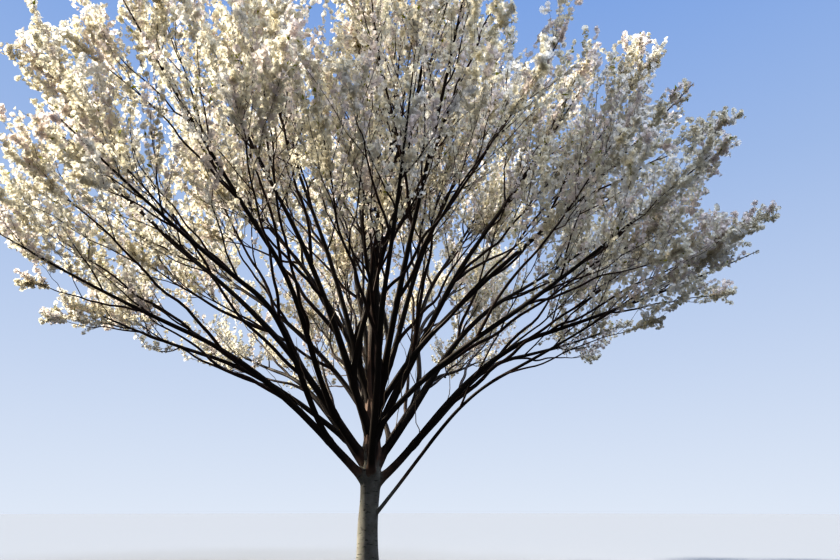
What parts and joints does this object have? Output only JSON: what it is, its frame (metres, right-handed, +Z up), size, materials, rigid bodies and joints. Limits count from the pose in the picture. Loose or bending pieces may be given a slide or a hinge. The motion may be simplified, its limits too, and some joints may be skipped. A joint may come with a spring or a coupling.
{
  "type": "flowering cherry tree",
  "caption": "Whole vase-shaped ornamental cherry tree in white blossom: a pale trunk, ascending dark boughs that fork, and rounded masses of blossom, rooted in level ground.",
  "frame": {"origin": "middle of the flat cut under the trunk, at ground level", "axes": "+Z up, along the trunk; +X to the right and +Y away from the viewer, as the tree is seen in the picture"},
  "size_m": [15.0578, 15.0883, 11.2862],
  "materials": {
    "trunk_bark": "smooth pale grey bark with darker rough bands across it",
    "bough_bark": "dark brown bark, nearly smooth, with fine pale bands",
    "blossom": "matt cream-white petals in clusters on thin dark twigs"
  },
  "bodies": {
    "root": {"trunk": "trunk_bark", "bough_low_1": "bough_bark", "bough_low_1_fork": "bough_bark", "bough_low_2": "bough_bark", "bough_low_2_fork": "bough_bark", "bough_low_3": "bough_bark", "bough_low_3_fork": "bough_bark", "bough_low_4": "bough_bark", "bough_low_4_fork": "bough_bark", "bough_low_5": "bough_bark", "bough_low_5_fork": "bough_bark", "bough_middle_1": "bough_bark", "bough_middle_1_fork": "bough_bark", "bough_middle_2": "bough_bark", "bough_middle_2_fork": "bough_bark", "bough_middle_3": "bough_bark", "bough_middle_3_fork": "bough_bark", "bough_middle_4": "bough_bark", "bough_middle_4_fork": "bough_bark", "bough_high_1": "bough_bark", "bough_high_1_fork": "bough_bark", "bough_high_2": "bough_bark", "bough_high_2_fork": "bough_bark", "bough_high_3": "bough_bark", "bough_high_3_fork": "bough_bark", "bough_top_1": "bough_bark", "bough_top_1_fork": "bough_bark", "bough_top_2": "bough_bark", "bough_top_2_fork": "bough_bark", "bough_lowest_1": "bough_bark", "blossom_crest": "blossom", "blossom_low_1": "blossom", "blossom_low_1_fork": "blossom", "blossom_low_2": "blossom", "blossom_low_2_fork": "blossom", "blossom_low_3": "blossom", "blossom_low_3_fork": "blossom", "blossom_low_4": "blossom", "blossom_low_4_fork": "blossom", "blossom_low_5": "blossom", "blossom_low_5_fork": "blossom", "blossom_middle_1": "blossom", "blossom_middle_1_fork": "blossom", "blossom_middle_2": "blossom", "blossom_middle_2_fork": "blossom", "blossom_middle_3": "blossom", "blossom_middle_3_fork": "blossom", "blossom_middle_4": "blossom", "blossom_middle_4_fork": "blossom", "blossom_high_1": "blossom", "blossom_high_1_fork": "blossom", "blossom_high_2": "blossom", "blossom_high_2_fork": "blossom", "blossom_high_3": "blossom", "blossom_high_3_fork": "blossom", "blossom_top_1": "blossom", "blossom_top_1_fork": "blossom", "blossom_top_2": "blossom", "blossom_top_2_fork": "blossom", "blossom_lowest_1": "blossom"}
  },
  "joints": []
}
